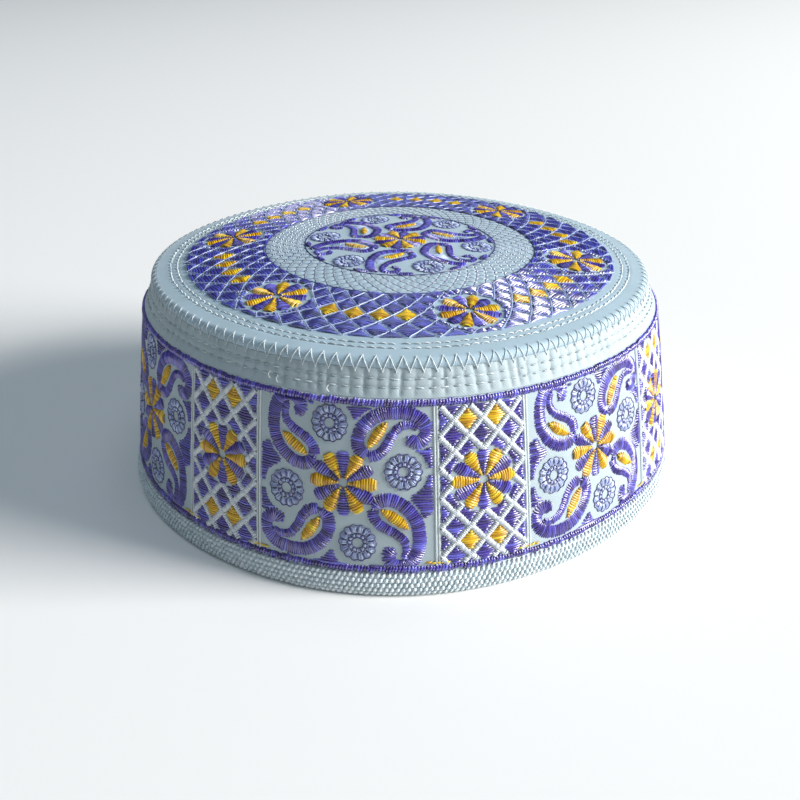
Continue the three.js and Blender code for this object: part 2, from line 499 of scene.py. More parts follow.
def stitch_tree(name, arched):
    """A Geometry Nodes tree that lays threads along edges."""
    tree = bpy.data.node_groups.new(name, "GeometryNodeTree")
    sockets = tree.interface
    sockets.new_socket("Edges", in_out="INPUT", socket_type="NodeSocketGeometry")
    inputs = {"Fullness": "Float", "Points": "Int", "Sides": "Int", "Flatness": "Float",
              "Thread": "Material"}
    for label, kind in inputs.items():
        sockets.new_socket(label, in_out="INPUT", socket_type="NodeSocket" + kind)
    sockets.new_socket("Threads", in_out="OUTPUT", socket_type="NodeSocketGeometry")
    given = add(tree, "NodeGroupInput").outputs
    curve = add(tree, "GeometryNodeMeshToCurve", {"Mesh": given["Edges"]}).outputs["Curve"]
    normal = from_edge(tree, "normal", "FLOAT_VECTOR")
    if arched:
        curve = add(tree, "GeometryNodeResampleCurve",
                    {"Curve": curve, "Count": given["Points"]}).outputs["Curve"]
        along = add(tree, "GeometryNodeSplineParameter").outputs["Factor"]
        arch = maths(tree, "MULTIPLY", along, maths(tree, "SUBTRACT", 1.0, along))
        full = maths(tree, "MULTIPLY", arch, given["Fullness"])
        high = maths(tree, "MULTIPLY", full, from_edge(tree, "lift"))
        offset = add(tree, "ShaderNodeVectorMath", {0: normal, "Scale": high}, operation="SCALE")
        curve = add(tree, "GeometryNodeSetPosition",
                    {"Geometry": curve, "Offset": offset.outputs["Vector"]}).outputs["Geometry"]
    curve = add(tree, "GeometryNodeSetCurveNormal", {"Curve": curve, "Normal": normal},
                mode="FREE").outputs["Curve"]
    ring = add(tree, "GeometryNodeCurvePrimitiveCircle", {"Resolution": given["Sides"], "Radius": 0.5})
    size = add(tree, "ShaderNodeCombineXYZ", {"X": given["Flatness"], "Y": 1.0, "Z": 1.0})
    oval = add(tree, "GeometryNodeTransform",
               {"Geometry": ring.outputs["Curve"], "Scale": size.outputs[0]}).outputs["Geometry"]
    threads = add(tree, "GeometryNodeCurveToMesh", {
        "Curve": curve, "Profile Curve": oval, "Scale": from_edge(tree, "width"),
        "Fill Caps": True}).outputs["Mesh"]
    smooth = add(tree, "GeometryNodeSetShadeSmooth", {"Geometry": threads}).outputs["Geometry"]
    whole = add(tree, "GeometryNodeRealizeInstances", {"Geometry": smooth}).outputs["Geometry"]
    dyed = add(tree, "GeometryNodeSetMaterial", {"Geometry": whole, "Material": given["Thread"]})
    add(tree, "NodeGroupOutput", {"Threads": dyed.outputs["Geometry"]})
    return tree


SATIN = stitch_tree("satin_stitches", True)
LAID = stitch_tree("laid_threads", False)

# %% Sewing
FULLNESS = 4.0
STITCH_POINTS = 4


def sew(name, tree, points, edges, facts, material, slot, sides=4, flatness=0.7):
    """Turns edges into threads with the tree, and keeps the plain mesh."""
    along = np.zeros(points.shape)
    along[edges[:, 1]] = points[edges[:, 1]] - points[edges[:, 0]]
    along[edges[:, 0]] = points[edges[:, 1]] - points[edges[:, 0]]
    across = np.cross(facts["normal"], along)
    facts["across"] = across / np.linalg.norm(across, axis=-1, keepdims=True)
    mesh = bpy.data.meshes.new(name)
    mesh.from_pydata((points * MM).tolist(), edges.tolist(), [])
    for label, values in facts.items():
        vector = values.ndim == 2
        layer = mesh.attributes.new(label, "FLOAT_VECTOR" if vector else "FLOAT", "POINT")
        layer.data.foreach_set("vector" if vector else "value", values.astype(np.float32).ravel())
    edge_piece = put_in_scene(name + "_edges", mesh)
    modifier = edge_piece.modifiers.new("threads", "NODES")
    modifier.node_group = tree
    chosen = {"Fullness": FULLNESS, "Points": STITCH_POINTS, "Sides": sides,
              "Flatness": flatness, "Thread": material}
    for item in tree.interface.items_tree:
        if item.in_out == "INPUT" and item.name in chosen:
            modifier[item.identifier] = chosen[item.name]
    graph = bpy.context.evaluated_depsgraph_get()
    plain = bpy.data.meshes.new_from_object(edge_piece.evaluated_get(graph), depsgraph=graph)
    plain.name = name
    for label in ("normal", "lift", "width"):
        if label in plain.attributes:
            plain.attributes.remove(plain.attributes[label])
    bpy.data.objects.remove(edge_piece)
    finish_piece(put_in_scene(name, plain), slot)
    print(name, "has", len(edges), "edges and", triangles(plain), "triangles")


CHANCE = np.random.default_rng(11)


def stitches(chart, drawn, lift=0.4, width=0.8, sink=0.1, base=0.5, spread=0.32, stray=0.08):
    """Stitches of shape (count, 2 ends, 2) laid on the cap, ready to be sewn."""
    drawn = np.asarray(drawn, float)
    drawn = drawn + CHANCE.normal(0, stray, drawn.shape)
    place, normal = on_cap(chart, drawn)
    number = len(drawn)
    tone = np.clip(base + spread * CHANCE.standard_normal(number), 0, 1)
    return {
        "place": place - normal * sink,
        "normal": normal,
        "lift": np.full(number, (lift + sink) * MM),
        "width": np.full(number, width * MM),
        "tone": tone,
    }


def sew_satin(name, groups, material, slot, **options):
    """Sews groups of stitches as one piece."""
    points = np.concatenate([group["place"].reshape(-1, 3) for group in groups])
    facts = {"normal": np.concatenate([group["normal"].reshape(-1, 3) for group in groups])}
    for label in ("lift", "width", "tone"):
        facts[label] = np.repeat(np.concatenate([group[label] for group in groups]), 2)
    edges = np.arange(len(points)).reshape(-1, 2)
    sew(name, SATIN, points, edges, facts, material, slot, **options)


def sew_lines(name, chart, lines, material, slot, width, lift, base=0.5, stray=0.0, **options):
    """Sews long laid threads. A line is an array of points, open or with its first point last."""
    places, normals, edges, tones = [], [], [], []
    start = 0
    for line in lines:
        closed = np.allclose(line[0], line[-1])
        line = line + CHANCE.normal(0, stray, line.shape)
        place, normal = on_cap(chart, line[:-1] if closed else line)
        places.append(place + normal * lift)
        normals.append(normal)
        count = len(place)
        ends = np.stack([np.arange(count - 1), np.arange(1, count)], -1) + start
        edges.append(ends)
        if closed:
            edges.append(np.array([[start + count - 1, start]]))
        tones.append(np.full(count, np.clip(base + 0.15 * CHANCE.standard_normal(), 0, 1)))
        start += count
    points = np.concatenate(places)
    facts = {"normal": np.concatenate(normals), "tone": np.concatenate(tones)}
    facts["width"] = np.full(len(points), width * MM)
    facts["lift"] = np.zeros(len(points))
    sew(name, LAID, points, np.concatenate(edges), facts, material, slot, **options)


# %% [markdown]
# ## Drawing tools
# Three ways of filling cover the whole cap. `satin` lays stitches across a path, as on a
# paisley. `fill` lays them in straight rows wherever a test says that a point is inside, as
# on a diamond. `petal` lays them across a petal that widens towards its tip.

# %% Drawing tools


def smooth_path(points, step):
    """A smooth curve through points, cut into steps of equal length."""
    points = np.asarray(points, float)
    padded = np.vstack([2 * points[0] - points[1], points, 2 * points[-1] - points[-2]])
    share = np.linspace(0, 1, 24, endpoint=False)[:, None]
    pieces = []
    for a, b, c, d in zip(padded, padded[1:], padded[2:], padded[3:]):
        pieces.append(0.5 * (2 * b + (c - a) * share + (2 * a - 5 * b + 4 * c - d) * share ** 2
                             + (3 * b - a - 3 * c + d) * share ** 3))
    dense = np.vstack([*pieces, points[-1:]])
    length = np.concatenate([[0], np.cumsum(np.hypot(*np.diff(dense, axis=0).T))])
    even = np.arange(0, length[-1], step)
    return np.stack([np.interp(even, length, dense[:, k]) for k in (0, 1)], -1)


def satin(points, width, pitch=0.7, width_end=None, ease=2.0, slant=0.0):
    """Stitches across a path. The band narrows to width_end, and rounds off within ease."""
    path = smooth_path(points, pitch)
    along = np.gradient(path, axis=0)
    along /= np.linalg.norm(along, axis=-1, keepdims=True)
    side = np.stack([-along[:, 1], along[:, 0]], -1)
    share = np.linspace(0, 1, len(path))
    full = width + ((width if width_end is None else width_end) - width) * share
    away = np.minimum(np.arange(len(path)), np.arange(len(path))[::-1]) * pitch
    full = full * np.sqrt(np.clip(1 - (1 - np.clip(away / ease, 0, 1)) ** 2, 0.06, 1))
    half = full[:, None] / 2
    return np.stack([path - side * half - along * slant, path + side * half + along * slant], 1)


def fill(inside, low, high, pitch=0.75, upright=False, shortest=0.5, step=0.12):
    """Straight rows of stitches in the box from low to high, wherever inside(x, y) holds."""
    if upright:
        flipped = fill(lambda x, y: inside(y, x), low[::-1], high[::-1], pitch, False, shortest, step)
        return flipped[..., ::-1]
    xs = np.arange(low[0], high[0] + step, step)
    ys = np.arange(low[1] + pitch / 2, high[1], pitch)
    hit = np.pad(inside(*np.meshgrid(xs, ys)), ((0, 0), (1, 1)))
    change = np.diff(hit.astype(int), axis=1)
    row, first = np.nonzero(change == 1)
    last = np.nonzero(change == -1)[1] - 1
    drawn = np.stack([np.stack([xs[first], ys[row]], -1), np.stack([xs[last], ys[row]], -1)], 1)
    return drawn[xs[last] - xs[first] > shortest]


def petal(tip, turn, pitch=0.72, start=1.7, width=4.0):
    """Stitches across one petal that points along turn, in degrees."""
    away = np.arange(start, tip, pitch)
    share = (away - start) / (tip - start)
    half = width / 2 * np.where(share < 0.72, 0.16 + 0.84 * share / 0.72,
                                np.sqrt(np.clip(1 - ((share - 0.72) / 0.33) ** 2, 0.05, 1)))
    drawn = np.stack([np.stack([away, -half], -1), np.stack([away, half], -1)], 1)
    return turned(drawn, turn)


def turned(drawn, degrees):
    turn = np.radians(degrees)
    return drawn @ np.array([[np.cos(turn), np.sin(turn)], [-np.sin(turn), np.cos(turn)]])


def copies(drawn, places):
    """The drawing at each (x, y) place."""
    return np.concatenate([drawn + np.array(place) for place in places])


def apart(path, x, y):
    """Distance of each point (x, y) from a path of points."""
    nearest = np.full(x.shape, np.inf)
    for px, py in path:
        nearest = np.minimum(nearest, np.hypot(x - px, y - py))
    return nearest


def within(path, x, y):
    """True where (x, y) is inside the closed outline of a path."""
    inside = np.zeros(x.shape, bool)
    for (ax, ay), (bx, by) in zip(path, np.roll(path, -1, 0)):
        crosses = (ay > y) != (by > y)
        with np.errstate(divide="ignore", invalid="ignore"):
            inside ^= crosses & (x < (bx - ax) * (y - ay) / (by - ay) + ax)
    return inside


# %% [markdown]
# ## Flowers and rosettes
# Both motifs come back all over the cap. The flower has twelve petals, violet and gold by
# turns. The rosette is lace-like: two rings of pale pads, each outlined in dark violet,
# round an open eye.

# %% Flower and rosette
SIXTHS = [60 * k for k in range(6)]
PADS = 14
EYE_PADS = 11


def flower(tip, gold_turn):
    """Violet and gold stitches of a flower."""
    gold = np.concatenate([petal(tip, gold_turn + turn) for turn in SIXTHS])
    violet = np.concatenate([petal(tip, gold_turn + 30 + turn) for turn in SIXTHS])
    return violet, gold


def circle(radius, points=24, wave=0.0, waves=0):
    turn = np.linspace(0, 2 * np.pi, points + 1)
    away = radius + wave * np.cos(turn * waves)
    return np.stack([away * np.cos(turn), away * np.sin(turn)], -1)


def radial(count, inner, outer, shift=0.0):
    """Stitches that point away from the middle, evenly round it."""
    turn = 2 * np.pi * (np.arange(count) + shift) / count
    way = np.stack([np.cos(turn), np.sin(turn)], -1)
    return np.stack([way * inner, way * outer], 1)


def rosette(size):
    """Dark lines, dark stitches and pale stitches of a rosette of radius size."""
    lines = [circle(0.95 * size, 84, 0.04 * size, PADS), circle(0.5 * size, 70, 0.035 * size, PADS)]
    lines.append(circle(0.29 * size, 24))
    dark = [radial(PADS, 0.55 * size, 0.88 * size, 0.5), radial(EYE_PADS, 0.31 * size, 0.47 * size)]
    pale = [radial(PADS, 0.54 * size, 0.93 * size, shift) for shift in (-0.22, 0.0, 0.22)]
    pale += [radial(EYE_PADS, 0.32 * size, 0.5 * size, shift) for shift in (0.36, 0.64)]
    return lines, np.concatenate(dark), np.concatenate(pale)


# %% [markdown]
# ## The wide panel
# Seven wide and seven narrow panels go round the wall. The wide panel turns about its
# flower: four paisleys, four rosettes, and violet corners where they leave room at the
# edge. A few listed points give one paisley, and the other three are turns of it.

# %% Layout of the wall
REPEATS = 7
REPEAT = 360 / REPEATS
WIDE_TURN = -11.1
PANEL_LOW = 9.2
PANEL_HIGH = 56.7
FLOWER_HEIGHT = 34.2
DIVIDER = 13.5
DIVIDER_HALF = 0.8
HALF_REPEAT = np.radians(REPEAT / 2) * WALL_CHART_RADIUS
NARROW_HALF = DIVIDER - DIVIDER_HALF
WIDE_HALF = HALF_REPEAT - DIVIDER - DIVIDER_HALF
ROOM_BELOW = PANEL_LOW - FLOWER_HEIGHT
ROOM_ABOVE = PANEL_HIGH - FLOWER_HEIGHT
wide_turns = [np.radians(WIDE_TURN + REPEAT * k) for k in range(REPEATS)]
wide_places = [(turn * WALL_CHART_RADIUS, FLOWER_HEIGHT) for turn in wide_turns]
narrow_places = [(x + HALF_REPEAT, y) for x, y in wide_places]
print("widths of the panels:", round(2 * WIDE_HALF, 1), "and", round(2 * NARROW_HALF, 1), "mm")

# %% The paisley
PAISLEY_OUTER = [(18.2, 13.8), (20.2, 12.3), (22.6, 13.2), (23.4, 16.2), (21.8, 19.0),
                 (19.0, 20.5), (15.6, 21.0), (11.4, 20.6), (7.8, 18.7), (5.2, 15.8),
                 (4.1, 12.4), (4.9, 9.6), (7.0, 8.2)]
PAISLEY_INNER = [(7.0, 8.2), (9.8, 8.8), (11.9, 11.0), (13.5, 14.0), (15.7, 16.7),
                 (18.6, 17.4), (21.4, 16.4)]
PAISLEY_SEED = [(7.2, 10.9), (9.2, 14.0), (12.2, 17.9)]
TURNS = (0, 90, 180, 270)
ROSETTE_PLACES = [turned(np.array([16.8, 3.9]), turn) for turn in TURNS]
ROSETTE_SIZE = 5.4
LOWER_STRETCH = 1.07


def fit(drawn):
    """Stretches the lower half of a square drawing to the panel, and trims it to the edges."""
    drawn = np.array(drawn, float)
    drawn[..., 1] = np.where(drawn[..., 1] < 0, drawn[..., 1] * LOWER_STRETCH, drawn[..., 1])
    drawn[..., 0] = np.clip(drawn[..., 0], -WIDE_HALF, WIDE_HALF)
    drawn[..., 1] = np.clip(drawn[..., 1], ROOM_BELOW, ROOM_ABOVE)
    return drawn


def lengthy(drawn, shortest=0.45):
    return drawn[np.linalg.norm(drawn[:, 1] - drawn[:, 0], axis=-1) > shortest]


# %% Stitches of the wide panel


def wide_corner(x, y):
    """True where the violet filling between the motifs lies."""
    y = np.where(y < 0, y / LOWER_STRETCH, y)
    edge = np.minimum(ROOM_ABOVE - y, y - ROOM_BELOW / LOWER_STRETCH)
    edge = np.minimum(WIDE_HALF - np.abs(x), edge)
    free = (edge > 0.2) & (edge < 6.5)
    for place in ROSETTE_PLACES:
        free &= np.hypot(x - place[0], y - place[1]) > ROSETTE_SIZE + 1.5
    for turn in TURNS:
        outer = turned(smooth_path(PAISLEY_OUTER, 1.0), turn)
        free &= (apart(outer, x, y) > 2.4) & ~within(outer, x, y)
    return free & (apart(ROSETTE_PLACES, x, y) < 14)


def wide_panel():
    violet, gold = flower(9.3, 0)
    violet, gold = [violet], [gold]
    for turn in TURNS:
        violet.append(turned(satin(PAISLEY_OUTER, 3.9, 0.62, ease=1.3), turn))
        violet.append(turned(satin(PAISLEY_INNER, 3.4, 0.62, width_end=2.1, ease=0.6), turn))
        gold.append(turned(satin(PAISLEY_SEED, 3.1, ease=4.0), turn))
    low, high = (-WIDE_HALF, ROOM_BELOW), (WIDE_HALF, ROOM_ABOVE)
    violet.append(fill(wide_corner, low, high, shortest=1.3))
    return lengthy(fit(np.concatenate(violet))), lengthy(fit(np.concatenate(gold)))


wide_violet, wide_gold = wide_panel()
print("stitches in a wide panel:", len(wide_violet), "violet and", len(wide_gold), "gold")

# %% [markdown]
# ## The narrow panel
# Here the ground is a lattice of diamonds, kept apart by raised white bars, and the flower
# lies over its middle. Four diamonds are gold. The bars are satin too, sewn in white.

# %% Stitches of the narrow panel
CELL = (NARROW_HALF / 3, 4.55)
BAR = 1.8
MARGIN = 9.7


def diamond(x, y):
    """Row and column of the diamond round a point, and how far the point is from its bars."""
    a = x / CELL[0] + y / CELL[1]
    b = x / CELL[0] - y / CELL[1]
    slope = 1 / np.hypot(1 / CELL[0], 1 / CELL[1])
    bars = np.minimum(1 - np.abs(a % 2 - 1), 1 - np.abs(b % 2 - 1)) * slope
    i = np.floor(a / 2) + np.floor(b / 2) + 1
    j = np.floor(a / 2) - np.floor(b / 2)
    return i, j, bars


def in_narrow(x, y):
    return (np.abs(x) < NARROW_HALF - 0.2) & (y > ROOM_BELOW + 0.3) & (y < ROOM_ABOVE - 0.3)


def is_gold(x, y):
    i, j, bars = diamond(x, y)
    return (np.abs(i) == 1) & (np.abs(j) == 4) & (bars > BAR / 2)


def is_violet(x, y):
    _, _, bars = diamond(x, y)
    return in_narrow(x, y) & (bars > BAR / 2) & (np.hypot(x, y) > MARGIN) & ~is_gold(x, y)


def runs(path, keep):
    """The parts of a path that are kept."""
    ends = np.nonzero(np.diff(keep.astype(int)))[0] + 1
    parts = zip(np.split(path, ends), np.split(keep, ends))
    return [part for part, kept in parts if kept[0] and len(part) > 2]


def bar_paths():
    """Middle lines of the white bars, cut at the edges and at the flower."""
    paths = []
    reach = np.arange(-60, 60, 0.55)
    for way in (1, -1):
        slope = np.array([CELL[0], way * CELL[1]]) / np.hypot(*CELL)
        for k in range(-8, 10, 2):
            middle = np.array([0, k * CELL[1]]) + reach[:, None] * slope
            keep = in_narrow(*middle.T) & (np.hypot(*middle.T) > MARGIN - 0.6)
            paths += runs(middle, keep)
    return paths


def across(path, width):
    """A stitch across every point of a straight path."""
    slope = (path[-1] - path[0]) / np.linalg.norm(path[-1] - path[0])
    side = np.array([-slope[1], slope[0]]) * width / 2
    return np.stack([path - side, path + side], 1)


def narrow_panel():
    low, high = (-NARROW_HALF, ROOM_BELOW), (NARROW_HALF, ROOM_ABOVE)
    violet, gold = flower(9.2, 0)
    violet = np.concatenate([violet, fill(is_violet, low, high)])
    gold = np.concatenate([gold, fill(is_gold, low, high, 0.7)])
    return violet, gold, np.concatenate([across(path, BAR) for path in bar_paths()])


narrow_violet, narrow_gold, narrow_white = narrow_panel()
print("stitches in a narrow panel:", len(narrow_violet), len(narrow_gold), len(narrow_white))

# %% Sewing the wall
sew_satin("wide_violet_satin", [
    stitches(wall_chart, copies(wide_violet, wide_places), 0.5, 0.7)], VIOLET, "violet_thread")
sew_satin("narrow_violet_satin", [
    stitches(wall_chart, copies(narrow_violet, narrow_places), 0.45, 0.8)], VIOLET, "violet_thread")
sew_satin("wall_gold_satin", [
    stitches(wall_chart, copies(wide_gold, wide_places), 0.6, 0.84),
    stitches(wall_chart, copies(narrow_gold, narrow_places), 0.55, 0.84)], GOLD, "gold_thread")
bar_satin = stitches(wall_chart, copies(narrow_white, narrow_places), 0.55, 0.8, base=0.62)
sew_satin("lattice_bars", [bar_satin], PALE, "white_thread", sides=3)
bar_lines = [path[::3] + place for place in narrow_places for path in bar_paths()]
sew_lines("lattice_bar_cords", wall_chart, bar_lines, PALE, "white_thread", 1.6, 0.2, flatness=0.3)

# %% Wall rosettes and divider lines
rosette_lines, rosette_dark, rosette_pale = rosette(ROSETTE_SIZE)
wall_lines, wall_dark, wall_pale = [], [], []
for panel in wide_places:
    for place in ROSETTE_PLACES:
        wall_lines += [fit(line + place) + panel for line in rosette_lines]
        wall_dark.append(fit(rosette_dark + place) + panel)
        wall_pale.append(fit(rosette_pale + place) + panel)
sew_lines("wall_rosette_lines", wall_chart, wall_lines, INK, "violet_thread", 0.34, 0.2, sides=3)
sew_satin("wall_rosette_dark", [
    stitches(wall_chart, np.concatenate(wall_dark), 0.35, 0.36)], INK, "violet_thread", sides=3)
sew_satin("wall_rosette_pale", [
    stitches(wall_chart, np.concatenate(wall_pale), 0.3, 0.62, base=0.6)],
    LILAC, "white_thread", sides=3)

dividers = [(x + side * DIVIDER, 0.0) for x, _ in narrow_places for side in (-1, 1)]
upright_line = np.stack([np.zeros(40), np.linspace(PANEL_LOW, PANEL_HIGH, 40)], -1)
cords = [upright_line + place + (side * 0.42, 0) for place in dividers for side in (-1, 1)]
sew_lines("divider_cords", wall_chart, cords, SEWING, "white_thread", 0.75, 0.1)

# %% [markdown]
# ## Border lines
# A violet line runs round the wall above and below the panels. Its stitches stand upright
# and are a little uneven, which is what makes the line sparkle.

# %% The border lines
BORDER_PITCH = 0.86
BORDER_WIDTH = 1.9
BORDER_HEIGHTS = (8.27, 57.64)


def border(height):
    x = np.arange(0, 2 * np.pi * WALL_CHART_RADIUS - 0.3, BORDER_PITCH)
    wobble = CHANCE.normal(0, 0.09, (2, len(x)))
    low = np.stack([x - 0.12, height - BORDER_WIDTH / 2 + wobble[0]], -1)
    high = np.stack([x + 0.12, height + BORDER_WIDTH / 2 + wobble[1]], -1)
    return np.stack([low, high], 1)


def divider_feet():
    """Short gold stitches that lie along the foot of every divider."""
    drawn = []
    for x, _ in dividers:
        for shift in np.linspace(-2.6, 2.6, 5):
            low = (x + shift - 0.8, PANEL_LOW + 0.75)
            high = (x + shift + 0.8, PANEL_LOW + 0.95 + 0.1 * np.sin(7 * shift))
            drawn.append([low, high])
    return np.array(drawn)


feet = stitches(wall_chart, divider_feet(), 0.4, 0.6, base=0.7)
sew_satin("divider_feet", [feet], GOLD, "gold_thread")
borders = [stitches(wall_chart, border(height), 0.6, 0.9) for height in BORDER_HEIGHTS]
sew_satin("border_lines", borders, VIOLET, "violet_thread")

# %% [markdown]
# ## The crown's embroidery
# From the middle outwards the crown has a flower, six paisleys and six rosettes in a
# medallion, a quilted net, and a violet ring. White spirals divide that ring into
# diamonds, six flowers interrupt it, and four gold diamonds lie between each two flowers.

# %% Middle of the crown
CROWN_OUTER = [(3.4, -12.4), (1.6, -10.7), (-2.6, -11.1), (-6.9, -13.2), (-9.4, -18.6),
               (-9.6, -24.5), (-7.6, -28.6)]
CROWN_INNER = [(3.4, -12.4), (3.9, -15.6), (0.4, -18.2), (-3.4, -20.9), (-5.6, -24.8),
               (-4.8, -28.2), (-1.8, -28.6), (-0.8, -26.2), (-2.6, -24.6)]
CROWN_SEED = [(-5.0, -17.4), (-1.4, -15.2), (1.4, -13.4)]
CROWN_PAD = [(-7.2, -21.6), (-6.2, -18.4), (-1.6, -14.8), (2.2, -13.0)]
CROWN_ROSETTES = [turned(np.array([8.7, -23.9]), turn) for turn in SIXTHS]
CROWN_ROSETTE_SIZE = 5.1


def medallion():
    violet, gold = flower(8.5, -10)
    violet, gold, pale = [violet], [gold], []
    for turn in SIXTHS:
        violet.append(turned(satin(CROWN_OUTER, 2.9, ease=1.2), turn))
        violet.append(turned(satin(CROWN_INNER, 2.6, width_end=1.7, ease=0.7), turn))
        for middle in (3, 36):
            side = np.radians(middle + np.array([-4.5, 0, 4.5]))
            mark = (MEDALLION_RADIUS - 1.1) * np.stack([np.sin(side), -np.cos(side)], -1)
            violet.append(turned(satin(mark, 1.9, 0.6, ease=2.2), turn))
        gold.append(turned(satin(CROWN_SEED, 2.4, ease=3.2), turn))
        pale.append(turned(satin(CROWN_PAD, 3.2, 0.6, ease=3.0), turn))
    return np.concatenate(violet), np.concatenate(gold), np.concatenate(pale)


# %% The violet ring
LATTICE = (np.radians(3.75) * RING_RADIUS, 4.17)
LATTICE_TURN = np.radians(1.25) * RING_RADIUS
LATTICE_BAR = 0.75
RING_FLOWER_TURN = 20.0
RING_DISC = 10.4
ring_flowers = [(np.radians(RING_FLOWER_TURN + turn), RING_RADIUS) for turn in SIXTHS]


def ring_diamond(x, y):
    a = (x - LATTICE_TURN) / LATTICE[0] + (y - RING_RADIUS) / LATTICE[1] + 1
    b = (x - LATTICE_TURN) / LATTICE[0] - (y - RING_RADIUS) / LATTICE[1] + 1
    slope = 1 / np.hypot(1 / LATTICE[0], 1 / LATTICE[1])
    bars = np.minimum(1 - np.abs(a % 2 - 1), 1 - np.abs(b % 2 - 1)) * slope
    return np.floor(a / 2) + np.floor(b / 2), np.floor(a / 2) - np.floor(b / 2), bars


def clear_of_flowers(x, y, disc=RING_DISC):
    free = np.ones(np.shape(x), bool)
    angle = x / RING_RADIUS
    for turn, radius in ring_flowers:
        gap = np.sqrt(y ** 2 + radius ** 2 - 2 * y * radius * np.cos(angle - turn))
        free &= gap > disc
    return free


def ring_gold(x, y):
    i, j, bars = ring_diamond(x, y)
    degrees = np.degrees((i * LATTICE[0] + LATTICE_TURN) / RING_RADIUS)
    from_middle = (degrees - RING_FLOWER_TURN) % 60 - 30
    row = (j == 0) & (bars > LATTICE_BAR / 2) & (np.abs(from_middle) < 13)
    return row & clear_of_flowers(x, y)


def ring_violet(x, y):
    _, _, bars = ring_diamond(x, y)
    gold = ring_gold(x, y)
    return (bars > LATTICE_BAR / 2) & clear_of_flowers(x, y) & ~gold & (y < VIOLET_RING_RADIUS)


def ring_lines():
    """White threads of the ring's lattice."""
    lines = []
    y = np.linspace(RING_RADIUS - 3 * LATTICE[1], RING_RADIUS + 3 * LATTICE[1], 22)
    for k in range(48):
        for way in (1, -1):
            start = LATTICE_TURN + (2 * k + 1) * LATTICE[0]
            x = start + way * (y - RING_RADIUS) / LATTICE[1] * LATTICE[0]
            free = clear_of_flowers(x, y, RING_DISC - 0.4)
            lines += runs(np.stack([x, y], -1), free)
    return lines


# %% Sewing the crown
AROUND = 2 * np.pi * RING_RADIUS
START = np.radians(RING_FLOWER_TURN) * RING_RADIUS
medallion_violet, medallion_gold, medallion_pale = medallion()
ring_low = (START, NET_RADIUS + 0.4)
ring_high = (START + AROUND, VIOLET_RING_RADIUS)
ring_fill = fill(ring_violet, ring_low, ring_high, 0.82)
ring_gold_fill = fill(ring_gold, (START, 50), (START + AROUND, 66), 0.72)
flower_violet, flower_gold = [], []
for turn in SIXTHS:
    facing = RING_FLOWER_TURN + turn - 90
    violet, gold = flower(9.2, facing + 30)
    middle = turned(np.array([RING_RADIUS, 0.0]), facing)
    flower_violet.append(violet + middle)
    flower_gold.append(gold + middle)
sew_satin("crown_violet_satin", [
    stitches(crown_chart, medallion_violet, 0.45, 0.78),
    stitches(crown_chart, np.concatenate(flower_violet), 0.5, 0.8)], VIOLET, "violet_thread")
ring_satin = stitches(ring_chart, ring_fill, 0.45, 0.86, spread=0.34, stray=0.12)
sew_satin("ring_violet_satin", [ring_satin], FLAT_VIOLET, "violet_thread", flatness=0.9)
sew_satin("crown_gold_satin", [
    stitches(crown_chart, medallion_gold, 0.6, 0.82),
    stitches(crown_chart, np.concatenate(flower_gold), 0.6, 0.82),
    stitches(ring_chart, ring_gold_fill, 0.55, 0.84)], GOLD, "gold_thread")
sew_lines("ring_lattice", ring_chart, ring_lines(), LILAC, "white_thread", 0.4, 0.34, stray=0.13)

# %% Crown rosettes and the medallion's edge
crown_lines, crown_dark, crown_pale = [], [], []
small_lines, small_dark, small_pale = rosette(CROWN_ROSETTE_SIZE)
for place in CROWN_ROSETTES:
    crown_lines += [line + place for line in small_lines]
    crown_dark.append(small_dark + place)
    crown_pale.append(small_pale + place)
crown_lines.append(circle(MEDALLION_RADIUS, 180))
crown_lines.append(circle(NET_RADIUS + 0.2, 240))
sew_lines("crown_rosette_lines", crown_chart, crown_lines, INK, "violet_thread", 0.34, 0.2, sides=3)
sew_satin("crown_rosette_dark", [
    stitches(crown_chart, np.concatenate(crown_dark), 0.25, 0.34)], INK, "violet_thread", sides=3)
sew_satin("crown_pale_satin", [
    stitches(crown_chart, medallion_pale, 0.1, 0.7, base=0.75),
    stitches(crown_chart, np.concatenate(crown_pale), 0.3, 0.6, base=0.75)],
    LILAC, "white_thread", sides=3)

# %% The net between the medallion and the ring


def net_threads():
    lines = []
    share = np.linspace(0, 1, 16)
    y = MEDALLION_RADIUS + (NET_RADIUS - MEDALLION_RADIUS) * share
    for k in range(NET_CELLS):
        for way in (1, -1):
            x = (k + way * share * NET_TURN) / NET_CELLS * AROUND
            lines.append(np.stack([x, y], -1))
    return lines


sew_lines("net_lines", ring_chart, net_threads(), INK, "violet_thread", 0.32, 0.08, base=0.4, sides=3)


def net_glints():
    """A short pale stitch beside every crossing of the net."""
    drawn = []
    for row in range(1, 2 * int(NET_TURN)):
        radius = MEDALLION_RADIUS + (NET_RADIUS - MEDALLION_RADIUS) * row / (2 * NET_TURN)
        for k in range(NET_CELLS):
            x = (k + 0.5 * (row % 2)) / NET_CELLS * AROUND
            for shift in (-0.35, 0.35):
                y = radius + shift
                drawn.append([(x + shift - 0.9, y), (x + shift + 0.9, y)])
    return np.array(drawn)


glints = stitches(ring_chart, net_glints(), 0.3, 0.42, base=0.7)
sew_satin("net_glints", [glints], PALE, "white_thread", sides=3)

# %% [markdown]
# ## Sewing threads
# White thread holds the layers together. Two rows of running stitches go round the crown's
# rim and two round the gathered strip, fat slanted stitches are the grains of the hem, and
# a zigzag seam wraps the crown's edge. A few loose ends curl up from the strip, as they do
# on any machine-sewn cap.

# %% Running stitches


